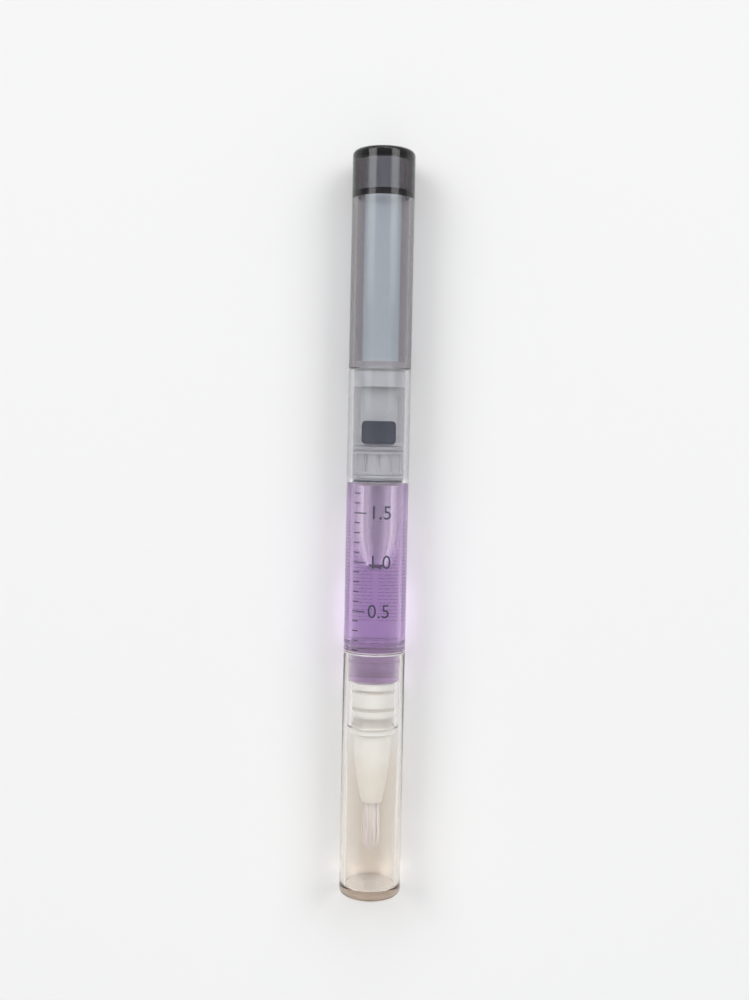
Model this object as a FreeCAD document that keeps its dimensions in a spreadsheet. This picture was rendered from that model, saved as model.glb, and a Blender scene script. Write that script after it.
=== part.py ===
import FreeCAD
import Part
import Sketcher
import math
import operator
import os
from FreeCAD import Vector

# Twist-feed nail oil pen, lying on its side along Y.
# The cap points to -Y, the knob to +Y, and the pen rests on the XY plane.
# A station is a distance along the pen from the closed end of the cap.

SIZES = {
    # outside
    "body_diameter": 10.5,
    "edge_round": 0.8,
    "rim_round": 0.15,
    # fits
    "press_gap": 0.02,
    "sliding_gap": 0.03,
    "running_gap": 0.12,
    # cap
    "cap_end_wall": 1.6,
    "cap_floor_round": 0.5,
    "cap_mouth_wall": 0.64,
    "cap_mouth_gap": 0.1,
    "cap_mouth_margin": 0.65,
    "cap_flange_gap": 0.25,
    "cap_taper_length": 8.0,
    "tip_room": 5.85,
    # barrel and its neck
    "rim_gap": 0.15,
    "barrel_length": 47.5,
    "barrel_wall": 0.85,
    "shoulder_wall": 1.2,
    "neck_length": 13.0,
    "neck_wall": 0.75,
    "bead_rise": 0.06,
    "bead_width": 1.0,
    "bead_setback": 1.6,
    # plug in the neck
    "plug_depth": 7.85,
    "plug_wall": 0.38,
    "plug_floor_wall": 1.55,
    "plug_top_rib": 1.35,
    "plug_middle_rib": 2.6,
    "plug_lower_rib": 1.15,
    "plug_groove_width": 0.45,
    "plug_groove_depth": 0.4,
    "plug_lead_in": 0.35,
    "flange_lip": 0.35,
    "flange_thickness": 1.1,
    "spigot_diameter": 4.4,
    "spigot_length": 3.0,
    # cone, brush and feed tube
    "cone_length": 12.0,
    "cone_shelf": 1.08,
    "cone_tip_wall": 0.35,
    "cone_side_radius": 60.0,
    "cone_mouth_length": 4.45,
    "cone_mouth_bore": 3.0,
    "root_step": 0.27,
    "root_length": 1.5,
    "brush_reach": 8.6,
    "brush_swell": 0.22,
    "brush_belly_drop": 6.4,
    "brush_tip_diameter": 1.6,
    "brush_side_radius": 3.3,
    "tube_diameter": 1.2,
    "tube_wall": 0.25,
    "tube_reach": 3.5,
    # piston and its seals
    "piston_length": 6.7,
    "piston_rest_gap": 1.2,
    "skirt_relief": 0.33,
    "land_width": 0.45,
    "ring_section": 0.9,
    "flute_radius": 0.3,
    "nose_length": 14.8,
    "nose_taper": 7.5,
    "nose_wall": 0.45,
    "nose_tip_radius": 1.7,
    "nose_tip_flat": 0.4,
    "nose_ring_rise": 0.17,
    "nose_ring_width": 0.5,
    "nose_ring_setback": 4.0,
    # lead screw
    "head_step": 0.2,
    "head_thickness": 1.5,
    "catch_width": 0.6,
    "screw_core": 2.8,
    "screw_flats": 2.6,
    "screw_end_room": 6.0,
    "thread_depth": 0.4,
    "thread_pitch": 2.0,
    "thread_crest": 0.6,
    "thread_play": 0.15,
    # drive nut and click ring
    "nut_flange_length": 3.0,
    "nut_register_length": 1.35,
    "nut_tube_length": 8.1,
    "nut_tube_diameter": 6.2,
    "nut_wall": 0.63,
    "nut_floor": 0.75,
    "ratchet_depth": 0.3,
    "ratchet_width": 0.5,
    "click_inset": 0.35,
    "click_thickness": 0.35,
    "click_nose": 0.25,
    # drive tube and knob
    "collar_gap": 0.15,
    "collar_step": 0.5,
    "collar_thickness": 1.05,
    "key_length": 5.8,
    "key_relief": 0.18,
    "knob_gap": 0.15,
    "knob_length": 36.2,
    "knob_wall": 0.85,
    "knob_end_wall": 1.6,
    "boss_depth": 5.0,
}

RATCHET_COUNT = 12
CLICK_NOSE_COUNT = 3
FLUTE_COUNT = 12
NUT_TURN_COUNT = 2

# How a sketch numbers its axes, its origin and a circle's centre
H_AXIS_INDEX = -1
V_AXIS_INDEX = -2
ORIGIN_INDICES = (-1, 1)
CENTRE_INDEX = 3

OPERATIONS = {
    "+": operator.add,
    "-": operator.sub,
    "*": operator.mul,
    "/": operator.truediv,
}


class Size:
    """A length: the sheet expression that gives it, and what it comes to."""

    def __init__(self, expression, value):
        self.expression = expression
        self.value = value

    def __add__(self, other):
        return combine(self, "+", other)

    def __sub__(self, other):
        return combine(self, "-", other)

    def __mul__(self, other):
        return combine(self, "*", other)

    def __truediv__(self, other):
        return combine(self, "/", other)


def as_size(item):
    if isinstance(item, Size):
        return item
    return Size(repr(item), item)


def combine(left, sign, right):
    left = as_size(left)
    right = as_size(right)
    text = "(%s %s %s)" % (left.expression, sign, right.expression)
    return Size(text, OPERATIONS[sign](left.value, right.value))


def square_root(item):
    return Size("sqrt(%s)" % item.expression, math.sqrt(item.value))


class Dimensions:
    """The sheet's sizes by alias."""


def fill_sheet(sheet):
    dims = Dimensions()
    for row, (alias, millimetres) in enumerate(SIZES.items(), start=1):
        sheet.set("A%d" % row, alias)
        sheet.set("B%d" % row, str(millimetres))
        sheet.setAlias("B%d" % row, alias)
    sheet.recompute()
    for alias in SIZES:
        setattr(dims, alias, Size("%s.%s" % (sheet.Name, alias), float(sheet.get(alias))))
    return dims


doc = FreeCAD.newDocument("nail_oil_pen")
d = fill_sheet(doc.addObject("Spreadsheet::Sheet", "sizes"))

# Stations and radii that two or more pieces share

body_radius = d.body_diameter / 2
bead_radius = body_radius - d.cap_mouth_wall - d.cap_mouth_gap
neck_radius = bead_radius - d.bead_rise
neck_bore = neck_radius - d.neck_wall
bore = body_radius - d.barrel_wall
knob_bore = body_radius - d.knob_wall

brush_tip = d.cap_end_wall + d.tip_room
cone_tip = brush_tip + d.brush_reach
cone_step = cone_tip + d.cone_mouth_length
plug_front = cone_tip + d.cone_length
neck_end = plug_front + d.flange_thickness
shoulder = neck_end + d.neck_length
cap_rim = shoulder - d.rim_gap
bore_start = shoulder + d.shoulder_wall
bore_cone_back = bore_start + bore - neck_bore
barrel_back = shoulder + d.barrel_length
knob_front = barrel_back + d.knob_gap
pen_end = knob_front + d.knob_length
knob_floor = pen_end - d.knob_end_wall

plug_rib = neck_bore - d.press_gap
plug_waist = plug_rib - d.plug_groove_depth
plug_recess = plug_waist - d.plug_wall
plug_flange = neck_bore + d.flange_lip
plug_top = neck_end + d.plug_depth
plug_floor = plug_front + d.plug_floor_wall
spigot = d.spigot_diameter / 2
spigot_end = plug_front - d.spigot_length
tube = d.tube_diameter / 2
tube_hole = tube + d.press_gap
tube_front = cone_tip - d.tube_reach

cone_mouth = d.cone_mouth_bore / 2
root = cone_mouth + d.root_step
root_front = cone_step + d.press_gap
root_back = root_front + d.root_length

nut_flange_front = barrel_back - d.nut_flange_length
nut_front = nut_flange_front - d.nut_tube_length
nut_back = barrel_back + d.nut_register_length
nut_flange = bore - d.press_gap
pocket = nut_flange - d.nut_wall
pocket_floor = nut_flange_front + d.nut_floor
click_front = pocket_floor + d.sliding_gap + d.click_nose
click_back = click_front + d.click_thickness
collar = pocket - d.collar_gap
collar_front = click_back + d.sliding_gap
collar_back = collar_front + d.collar_thickness
core = collar - d.collar_step
core_back = knob_floor - d.press_gap

piston_back = nut_front - d.piston_rest_gap
piston_front = piston_back - d.piston_length
ring_groove = d.ring_section + d.sliding_gap * 2
ring_land = d.land_width * 2 + ring_groove
rear_land_front = piston_back - ring_land
nose = plug_recess - d.running_gap
nose_tip = piston_front - d.nose_length
nose_shoulder = nose_tip + d.nose_taper
nose_ring_back = piston_front - d.nose_ring_setback
nose_ring_front = nose_ring_back - d.nose_ring_width

screw = d.screw_core / 2
crest = screw + d.thread_depth
screw_hole = crest + d.running_gap
head = nose - d.nose_wall + d.head_step
head_front = piston_front - d.land_width
head_back = head_front + d.head_thickness
screw_back = core_back - d.screw_end_room
thread_front = nut_front - d.thread_pitch
flat = d.screw_flats / 2


class Ogive:
    """Round nose of two tangent arcs, a long side arc and a small tip arc, round a small flat."""

    def __init__(self, radius, length, tip_radius):
        self.tip_radius = tip_radius
        self.flat_radius = d.nose_tip_flat / 2
        reach = radius - self.flat_radius
        drop = length - tip_radius
        spread = reach * reach + drop * drop - tip_radius * tip_radius
        self.side_radius = spread / ((reach - tip_radius) * 2)
        across = self.side_radius - reach
        span = square_root(across * across + drop * drop)
        self.join_radius = self.flat_radius + tip_radius * across / span
        self.join_height = tip_radius - tip_radius * drop / span

    def corners(self, tip):
        """Its outline from the axis to where the side arc begins, with the tip at a station."""
        return [
            Corner(0, tip),
            Corner(self.flat_radius, tip, arc=self.tip_radius),
            Corner(self.join_radius, tip + self.join_height, arc=self.side_radius),
        ]


class Corner:
    """A vertex of an outline. round is a fillet there, arc the bow of the edge that leaves it."""

    def __init__(self, radius, station, round=None, arc=None, hollow=False):
        self.radius = radius
        self.station = station
        self.round = round
        self.arc = arc
        self.hollow = hollow


def step_to(start, end, length):
    """Point on an edge along X or Y, at a length from its start."""
    across = as_size(end.radius).value - as_size(start.radius).value
    along = as_size(end.station).value - as_size(start.station).value
    if abs(across) > abs(along):
        sign = math.copysign(1, across)
        return Corner(as_size(start.radius) + length * sign, start.station)
    sign = math.copysign(1, along)
    return Corner(start.radius, as_size(start.station) + length * sign)


def turning(before, at, after):
    """Sign of the turn that an outline takes at a corner."""
    ax = as_size(at.radius).value - as_size(before.radius).value
    ay = as_size(at.station).value - as_size(before.station).value
    bx = as_size(after.radius).value - as_size(at.radius).value
    by = as_size(after.station).value - as_size(at.station).value
    return ax * by - ay * bx


def with_rounds(outline):
    """Replaces each rounded corner by the two ends of its fillet arc."""
    points = []
    for index, corner in enumerate(outline):
        if corner.round is None:
            points.append(corner)
            continue
        before = outline[index - 1]
        after = outline[(index + 1) % len(outline)]
        first = step_to(corner, before, corner.round)
        first.arc = corner.round
        first.hollow = turning(before, corner, after) < 0
        points.append(first)
        points.append(step_to(corner, after, corner.round))
    return points


def bowed_edge(start, end, radius, hollow):
    """Circular edge between two points, bowed to the right of its run, or to the left if hollow."""
    if hollow:
        start, end = end, start
    middle = (start + end) * 0.5
    run = end - start
    side = Vector(run.y, -run.x, 0).normalize()
    rise = radius - math.sqrt(max(radius**2 - (run.Length / 2) ** 2, 0))
    return Part.Arc(start, middle + side * rise, end)


def draw_outline(sketch, outline):
    """Closed outline whose every vertex and radius is bound to the sheet."""
    corners = with_rounds(outline)
    spots = [Vector(as_size(c.radius).value, as_size(c.station).value, 0) for c in corners]
    starts = []
    for index, corner in enumerate(corners):
        start = spots[index]
        end = spots[(index + 1) % len(spots)]
        if corner.arc is None:
            sketch.addGeometry(Part.LineSegment(start, end))
            starts.append((1, 2))
        else:
            sketch.addGeometry(bowed_edge(start, end, corner.arc.value, corner.hollow))
            starts.append((2, 1) if corner.hollow else (1, 2))
    bound = []
    for index, corner in enumerate(corners):
        following = (index + 1) % len(corners)
        point = starts[index][0]
        joint = (index, starts[index][1], following, starts[following][0])
        sketch.addConstraint(Sketcher.Constraint("Coincident", *joint))
        bind_vertex(sketch, index, point, corner, bound)
        if corner.arc is not None:
            bow = Sketcher.Constraint("Radius", index, corner.arc.value)
            bound.append((sketch.addConstraint(bow), corner.arc))
    for number, item in bound:
        sketch.setExpression("Constraints[%d]" % number, item.expression)


def bind_vertex(sketch, index, point, corner, bound):
    on_axis = not isinstance(corner.radius, Size)
    at_zero = not isinstance(corner.station, Size)
    if on_axis and at_zero:
        sketch.addConstraint(Sketcher.Constraint("Coincident", index, point, *ORIGIN_INDICES))
        return
    if on_axis:
        sketch.addConstraint(Sketcher.Constraint("PointOnObject", index, point, V_AXIS_INDEX))
    else:
        across = Sketcher.Constraint("DistanceX", *ORIGIN_INDICES, index, point, corner.radius.value)
        bound.append((sketch.addConstraint(across), corner.radius))
    if at_zero:
        sketch.addConstraint(Sketcher.Constraint("PointOnObject", index, point, H_AXIS_INDEX))
    else:
        along = Sketcher.Constraint("DistanceY", *ORIGIN_INDICES, index, point, corner.station.value)
        bound.append((sketch.addConstraint(along), corner.station))


class Disc:
    """A circle with its centre at a radius and a station, each 0 where it lies on an axis."""

    def __init__(self, size, radius, station):
        self.size = size
        self.radius = radius
        self.station = station


def draw_disc(sketch, disc):
    centre = Vector(as_size(disc.radius).value, as_size(disc.station).value, 0)
    index = sketch.addGeometry(Part.Circle(centre, Vector(0, 0, 1), disc.size.value))
    number = sketch.addConstraint(Sketcher.Constraint("Radius", index, disc.size.value))
    bound = [(number, disc.size)]
    bind_vertex(sketch, index, CENTRE_INDEX, disc, bound)
    for number, item in bound:
        sketch.setExpression("Constraints[%d]" % number, item.expression)


def origin_feature(body, role):
    return [item for item in body.Origin.OriginFeatures if item.Role == role][0]


def flat_sketch(body, name, role="XY_Plane"):
    sketch = body.newObject("Sketcher::SketchObject", name)
    sketch.AttachmentSupport = [(origin_feature(body, role), "")]
    sketch.MapMode = "FlatFace"
    return sketch


def cross_sketch(body, name, station):
    """Sketch square to the pen, at a station. Its X is the pen's X, and its normal points to -Y."""
    sketch = flat_sketch(body, name, "XZ_Plane")
    sketch.setExpression("AttachmentOffset.Base.z", "-%s" % station.expression)
    return sketch


def turned(label, outline, draw=draw_outline):
    """Body of revolution about the pen's axis, set down at the pen's resting height."""
    body = doc.addObject("PartDesign::Body", label)
    body.Label = label
    sketch = flat_sketch(body, label + "_outline")
    draw(sketch, outline)
    turn = body.newObject("PartDesign::Revolution", label + "_turn")
    turn.Profile = sketch
    turn.ReferenceAxis = (sketch, ["V_Axis"])
    turn.Angle = 360
    body.setExpression("Placement.Base.y", "-%s / 2" % pen_end.expression)
    body.setExpression("Placement.Base.z", body_radius.expression)
    doc.recompute()
    return body


def draw_slab(sketch, left, right, low, high):
    """Rectangle with its four sides bound to the sheet."""
    corners = [(left, low), (right, low), (right, high), (left, high)]
    spots = [Vector(x.value, y.value, 0) for x, y in corners]
    first = len(sketch.Geometry)
    for index in range(4):
        sketch.addGeometry(Part.LineSegment(spots[index], spots[(index + 1) % 4]))
    for index, (x, y) in enumerate(corners):
        edge = first + index
        following = first + (index + 1) % 4
        sketch.addConstraint(Sketcher.Constraint("Coincident", edge, 2, following, 1))
        across = Sketcher.Constraint("DistanceX", *ORIGIN_INDICES, edge, 1, x.value)
        along = Sketcher.Constraint("DistanceY", *ORIGIN_INDICES, edge, 1, y.value)
        sketch.setExpression("Constraints[%d]" % sketch.addConstraint(across), x.expression)
        sketch.setExpression("Constraints[%d]" % sketch.addConstraint(along), y.expression)


def extrude(body, kind, name, sketch, length):
    """Pad or pocket from a cross sketch towards the cap, by a length."""
    feature = body.newObject("PartDesign::" + kind, name)
    feature.Profile = sketch
    feature.setExpression("Length", length.expression)
    feature.Reversed = kind == "Pocket"
    doc.recompute()
    return feature


def ring_pattern(body, name, feature, count):
    pattern = body.newObject("PartDesign::PolarPattern", name)
    pattern.Originals = [feature]
    pattern.Axis = (origin_feature(body, "Y_Axis"), [""])
    pattern.Angle = 360
    pattern.Occurrences = count
    body.Tip = pattern
    doc.recompute()


def wind_ridge(body, name, outline, height):
    """Right-hand helical ridge of the given section, at the thread's pitch."""
    sketch = flat_sketch(body, name + "_section")
    draw_outline(sketch, outline)
    helix = body.newObject("PartDesign::AdditiveHelix", name)
    helix.Profile = sketch
    helix.ReferenceAxis = (sketch, ["V_Axis"])
    helix.Mode = "pitch-height-angle"
    helix.LeftHanded = False
    helix.Reversed = False
    helix.setExpression("Pitch", d.thread_pitch.expression)
    helix.setExpression("Height", height.expression)
    doc.recompute()


def backwards(outline):
    """The same outline walked the other way, with its bows and rounds kept."""
    bows = [None] + [corner.arc for corner in outline[:-1]]
    walked = []
    for corner, bow in zip(reversed(outline), reversed(bows)):
        hollow = bow is not None
        walked.append(Corner(corner.radius, corner.station, corner.round, bow, hollow))
    return walked


def make_cap_shell():
    mouth = bead_radius + d.cap_mouth_gap
    mouth_floor = neck_end - d.cap_mouth_margin
    hole = plug_flange + d.cap_flange_gap
    return turned("cap_shell", [
        Corner(0, 0),
        Corner(body_radius, 0, round=d.edge_round),
        Corner(body_radius, cap_rim, round=d.rim_round),
        Corner(mouth, cap_rim),
        Corner(mouth, mouth_floor),
        Corner(hole, mouth_floor - d.cap_taper_length),
        Corner(hole, d.cap_end_wall, round=d.cap_floor_round),
        Corner(0, d.cap_end_wall),
    ])


def make_barrel():
    bead_back = shoulder - d.bead_setback
    bead_front = bead_back - d.bead_width
    return turned("barrel", [
        Corner(neck_bore, neck_end),
        Corner(neck_radius, neck_end, round=d.rim_round),
        Corner(neck_radius, bead_front),
        Corner(bead_radius, bead_front + d.bead_rise),
        Corner(bead_radius, bead_back - d.bead_rise),
        Corner(neck_radius, bead_back),
        Corner(neck_radius, shoulder),
        Corner(body_radius, shoulder, round=d.rim_round),
        Corner(body_radius, barrel_back, round=d.rim_round),
        Corner(bore, barrel_back),
        Corner(bore, bore_cone_back),
        Corner(neck_bore, bore_start),
    ])


def make_tip_plug():
    outline = [
        Corner(tube_hole, plug_floor),
        Corner(plug_recess, plug_floor),
        Corner(plug_recess, plug_top),
        Corner(plug_rib - d.plug_lead_in, plug_top),
        Corner(plug_rib, plug_top - d.plug_lead_in),
    ]
    rib_back = plug_top
    for width in (d.plug_top_rib, d.plug_middle_rib, d.plug_lower_rib):
        if rib_back is not plug_top:
            outline.append(Corner(plug_waist, rib_back))
            outline.append(Corner(plug_rib, rib_back))
        rib_front = rib_back - width
        outline.append(Corner(plug_rib, rib_front))
        outline.append(Corner(plug_waist, rib_front))
        rib_back = rib_front - d.plug_groove_width
    outline += [
        Corner(plug_waist, neck_end),
        Corner(plug_flange, neck_end, round=d.rim_round),
        Corner(plug_flange, plug_front, round=d.rim_round),
        Corner(spigot, plug_front),
        Corner(spigot, spigot_end),
        Corner(tube_hole, spigot_end),
    ]
    return turned("tip_plug", backwards(outline))


def make_brush_cone():
    socket = spigot + d.press_gap
    socket_floor = spigot_end - d.press_gap
    root_hole = root + d.press_gap
    return turned("brush_cone", [
        Corner(cone_mouth, cone_tip),
        Corner(cone_mouth + d.cone_tip_wall, cone_tip, arc=d.cone_side_radius),
        Corner(spigot + d.cone_shelf, plug_front),
        Corner(socket, plug_front),
        Corner(socket, socket_floor),
        Corner(root_hole, socket_floor),
        Corner(root_hole, cone_step),
        Corner(cone_mouth, cone_step),
    ])


def make_brush():
    tuft = cone_mouth - d.press_gap
    hole_end = tube_front - d.sliding_gap
    return turned("brush", [
        Corner(0, brush_tip),
        Corner(d.brush_tip_diameter / 2, brush_tip, arc=d.brush_side_radius),
        Corner(tuft + d.brush_swell, cone_tip - d.brush_belly_drop),
        Corner(tuft, cone_tip),
        Corner(tuft, root_front),
        Corner(root, root_front),
        Corner(root, root_back),
        Corner(tube_hole, root_back),
        Corner(tube_hole, hole_end),
        Corner(0, hole_end),
    ])


def make_brush_retainer():
    front = root_back + d.press_gap
    back = spigot_end - d.press_gap
    return turned("brush_retainer", [
        Corner(tube_hole, front),
        Corner(root, front),
        Corner(root, back),
        Corner(tube_hole, back),
    ])


def make_feed_tube():
    channel = tube - d.tube_wall
    return turned("feed_tube", [
        Corner(channel, tube_front),
        Corner(tube, tube_front),
        Corner(tube, plug_floor),
        Corner(channel, plug_floor),
    ])


def nose_outline(gap):
    """Front of the piston from its tip to its front face, or the oil that follows it at a gap."""
    radius = nose + gap
    ring = radius + d.nose_ring_rise
    ogive = Ogive(radius, d.nose_taper + gap, d.nose_tip_radius + gap)
    return ogive.corners(nose_tip - gap) + [
        Corner(radius, nose_shoulder),
        Corner(radius, nose_ring_front - gap),
        Corner(ring, nose_ring_front - gap),
        Corner(ring, nose_ring_back + gap),
        Corner(radius, nose_ring_back + gap),
        Corner(radius, piston_front - gap),
    ]


def hollow_outline():
    """Inside of the piston's nose, one wall in from its outside, back to the head's pocket."""
    radius = nose - d.nose_wall
    ogive = Ogive(radius, d.nose_taper - d.nose_wall, d.nose_tip_radius - d.nose_wall)
    return ogive.corners(nose_tip + d.nose_wall) + [
        Corner(radius, nose_shoulder),
        Corner(radius, head_front - d.running_gap),
    ]


def land_outline(front):
    """Two lands of the piston with the groove of a seal ring between them."""
    land = bore - d.running_gap
    waist = bore - d.sliding_gap * 2 - d.ring_section
    groove_front = front + d.land_width
    groove_back = groove_front + ring_groove
    return [
        Corner(land, front),
        Corner(land, groove_front),
        Corner(waist, groove_front),
        Corner(waist, groove_back),
        Corner(land, groove_back),
        Corner(land, front + ring_land),
    ]


def make_piston():
    skirt = bore - d.running_gap - d.skirt_relief
    skirt_front = piston_front + ring_land
    head_hole = head + d.running_gap
    catch = screw + d.running_gap
    catch_front = head_back + d.running_gap
    catch_back = catch_front + d.catch_width
    skirt_outline = [
        Corner(skirt, skirt_front),
        Corner(skirt, rear_land_front),
    ]
    socket_outline = [
        Corner(head_hole, piston_back),
        Corner(head_hole, catch_back),
        Corner(catch, catch_back),
        Corner(catch, catch_front),
        Corner(head_hole, catch_front),
        Corner(head_hole, head_front - d.running_gap),
    ]
    outline = nose_outline(0.0) + land_outline(piston_front) + skirt_outline
    outline += land_outline(rear_land_front) + socket_outline + backwards(hollow_outline())
    body = turned("piston", outline)
    sketch = cross_sketch(body, "flute_section", rear_land_front)
    draw_disc(sketch, Disc(d.flute_radius, skirt, 0))
    flute = extrude(body, "Pocket", "flute", sketch, rear_land_front - skirt_front)
    ring_pattern(body, "flutes", flute, FLUTE_COUNT)
    return body


def make_piston_ring(label, land_front):
    """Seal ring of round section in the groove behind a land."""
    section = d.ring_section / 2
    middle = land_front + d.land_width + ring_groove / 2
    return turned(label, Disc(section, bore - d.sliding_gap - section, middle), draw=draw_disc)


def make_lead_screw():
    body = turned("lead_screw", [
        Corner(0, head_front),
        Corner(head, head_front, round=d.rim_round),
        Corner(head, head_back, round=d.rim_round),
        Corner(screw, head_back),
        Corner(screw, screw_back),
        Corner(0, screw_back),
    ])
    half_crest = d.thread_crest / 2
    buried = screw - d.thread_play
    half_root = half_crest + (crest - buried) / 2
    wind_ridge(body, "screw_thread", [
        Corner(buried, thread_front - half_root),
        Corner(crest, thread_front - half_crest),
        Corner(crest, thread_front + half_crest),
        Corner(buried, thread_front + half_root),
    ], screw_back - thread_front - d.thread_pitch)
    sketch = cross_sketch(body, "flat_section", screw_back)
    outside = crest + d.running_gap
    draw_slab(sketch, outside * -1, outside, flat, outside)
    draw_slab(sketch, outside * -1, outside, outside * -1, flat * -1)
    extrude(body, "Pocket", "flats", sketch, screw_back - thread_front + d.thread_pitch)
    return body


def make_drive_nut():
    tube_radius = d.nut_tube_diameter / 2
    register = knob_bore - d.running_gap
    core_hole = core + d.running_gap
    pocket_back = collar_back + d.sliding_gap
    body = turned("drive_nut", [
        Corner(screw_hole, nut_front),
        Corner(tube_radius, nut_front, round=d.rim_round),
        Corner(tube_radius, nut_flange_front),
        Corner(nut_flange, nut_flange_front),
        Corner(nut_flange, barrel_back),
        Corner(register, barrel_back),
        Corner(register, nut_back, round=d.rim_round),
        Corner(core_hole, nut_back),
        Corner(core_hole, pocket_back),
        Corner(pocket, pocket_back),
        Corner(pocket, pocket_floor),
        Corner(screw_hole, pocket_floor),
    ])
    # The ridge runs midway between two turns of the screw's thread
    tip = screw + d.thread_play
    buried = screw_hole + d.thread_play
    half_gap = d.thread_pitch / 2 - d.thread_play - d.thread_crest / 2
    half_tip = half_gap - (crest - tip) / 2
    half_root = half_gap + (buried - crest) / 2
    middle = nut_front + d.thread_pitch / 2
    wind_ridge(body, "nut_thread", [
        Corner(tip, middle - half_tip),
        Corner(buried, middle - half_root),
        Corner(buried, middle + half_root),
        Corner(tip, middle + half_tip),
    ], d.thread_pitch * NUT_TURN_COUNT)
    sketch = cross_sketch(body, "ratchet_section", pocket_floor)
    half = d.ratchet_width / 2
    draw_slab(sketch, screw_hole + d.click_inset, pocket, half * -1, half)
    groove = extrude(body, "Pocket", "ratchet_groove", sketch, d.ratchet_depth)
    ring_pattern(body, "ratchet_grooves", groove, RATCHET_COUNT)
    return body


def make_click_ring():
    inner = screw_hole + d.click_inset
    body = turned("click_ring", [
        Corner(inner, click_front),
        Corner(collar, click_front),
        Corner(collar, click_back),
        Corner(inner, click_back),
    ])
    sketch = cross_sketch(body, "nose_section", click_front)
    half = d.ratchet_width / 2 - d.running_gap
    draw_slab(sketch, inner + d.running_gap, collar - d.running_gap, half * -1, half)
    click = extrude(body, "Pad", "click_nose", sketch, d.click_nose)
    ring_pattern(body, "click_noses", click, CLICK_NOSE_COUNT)
    return body


def make_drive_tube():
    channel = screw_hole + d.key_relief
    key_back = collar_front + d.key_length
    body = turned("drive_tube", [
        Corner(screw_hole, collar_front),
        Corner(collar, collar_front, round=d.rim_round),
        Corner(collar, collar_back),
        Corner(core, collar_back),
        Corner(core, core_back, round=d.rim_round),
        Corner(channel, core_back),
        Corner(channel, key_back),
        Corner(screw_hole, key_back),
    ])
    sketch = cross_sketch(body, "key_section", key_back)
    key = flat + d.running_gap
    draw_slab(sketch, screw_hole * -1, screw_hole, key, screw_hole)
    draw_slab(sketch, screw_hole * -1, screw_hole, screw_hole * -1, key * -1)
    extrude(body, "Pad", "key_flats", sketch, d.key_length)
    return body


def make_knob_shell():
    boss = core + d.press_gap
    boss_front = knob_floor - d.boss_depth
    return turned("knob_shell", [
        Corner(knob_bore, knob_front),
        Corner(body_radius, knob_front, round=d.rim_round),
        Corner(body_radius, pen_end, round=d.edge_round),
        Corner(0, pen_end),
        Corner(0, knob_floor),
        Corner(boss, knob_floor),
        Corner(boss, boss_front),
        Corner(knob_bore, boss_front - knob_bore + boss),
    ])


def make_oil_fill():
    gap = d.sliding_gap
    return turned("oil_fill", [
        Corner(0, plug_floor + gap),
        Corner(plug_recess - gap, plug_floor + gap),
        Corner(plug_recess - gap, plug_top + gap),
        Corner(neck_bore - gap, plug_top + gap),
        Corner(neck_bore - gap, bore_start + gap),
        Corner(bore - gap, bore_cone_back + gap),
        Corner(bore - gap, piston_front - gap),
    ] + backwards(nose_outline(gap)))


subparts = [
    make_cap_shell(),
    make_barrel(),
    make_tip_plug(),
    make_brush_cone(),
    make_brush(),
    make_brush_retainer(),
    make_feed_tube(),
    make_oil_fill(),
    make_piston(),
    make_piston_ring("front_piston_ring", piston_front),
    make_piston_ring("rear_piston_ring", rear_land_front),
    make_lead_screw(),
    make_drive_nut(),
    make_click_ring(),
    make_drive_tube(),
    make_knob_shell(),
]
doc.recompute()

failed = [item.Label for item in doc.Objects if {"Invalid", "Error"} & set(item.State)]
for body in subparts:
    if body.Shape.isNull() or not body.Shape.isValid() or len(body.Shape.Solids) != 1:
        failed.append(body.Label)
if failed:
    raise RuntimeError("not built: " + ", ".join(failed))

os.makedirs("parts", exist_ok=True)
for body in subparts:
    body.Shape.exportStep(os.path.join("parts", body.Label + ".step"))
    print(body.Label, round(body.Shape.Volume, 3))
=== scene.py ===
import math
import random

import bmesh
import bpy
from mathutils import Matrix, Vector


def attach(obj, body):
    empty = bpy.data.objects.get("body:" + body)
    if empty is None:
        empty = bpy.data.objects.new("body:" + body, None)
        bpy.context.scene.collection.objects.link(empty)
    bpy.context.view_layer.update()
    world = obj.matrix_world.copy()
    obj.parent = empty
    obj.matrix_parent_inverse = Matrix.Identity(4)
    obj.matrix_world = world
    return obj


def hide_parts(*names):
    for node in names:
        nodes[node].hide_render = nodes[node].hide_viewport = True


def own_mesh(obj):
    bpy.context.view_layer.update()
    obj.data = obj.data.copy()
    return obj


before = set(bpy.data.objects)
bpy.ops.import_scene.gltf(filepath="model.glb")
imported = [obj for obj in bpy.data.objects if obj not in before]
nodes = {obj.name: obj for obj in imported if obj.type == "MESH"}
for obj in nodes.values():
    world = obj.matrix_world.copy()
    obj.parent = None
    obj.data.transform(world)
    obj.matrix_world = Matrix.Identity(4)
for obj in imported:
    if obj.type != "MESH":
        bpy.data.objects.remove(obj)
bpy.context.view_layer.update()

MM = 0.001
AXIS_HEIGHT = 5.25
HALF_LENGTH = 63.0
SEGMENTS = 160
SHARP_ANGLE = math.radians(28)
ON_AXIS = 1e-6

# Radii and stations in millimetres. A station is a distance from the closed end of the cap.

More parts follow.
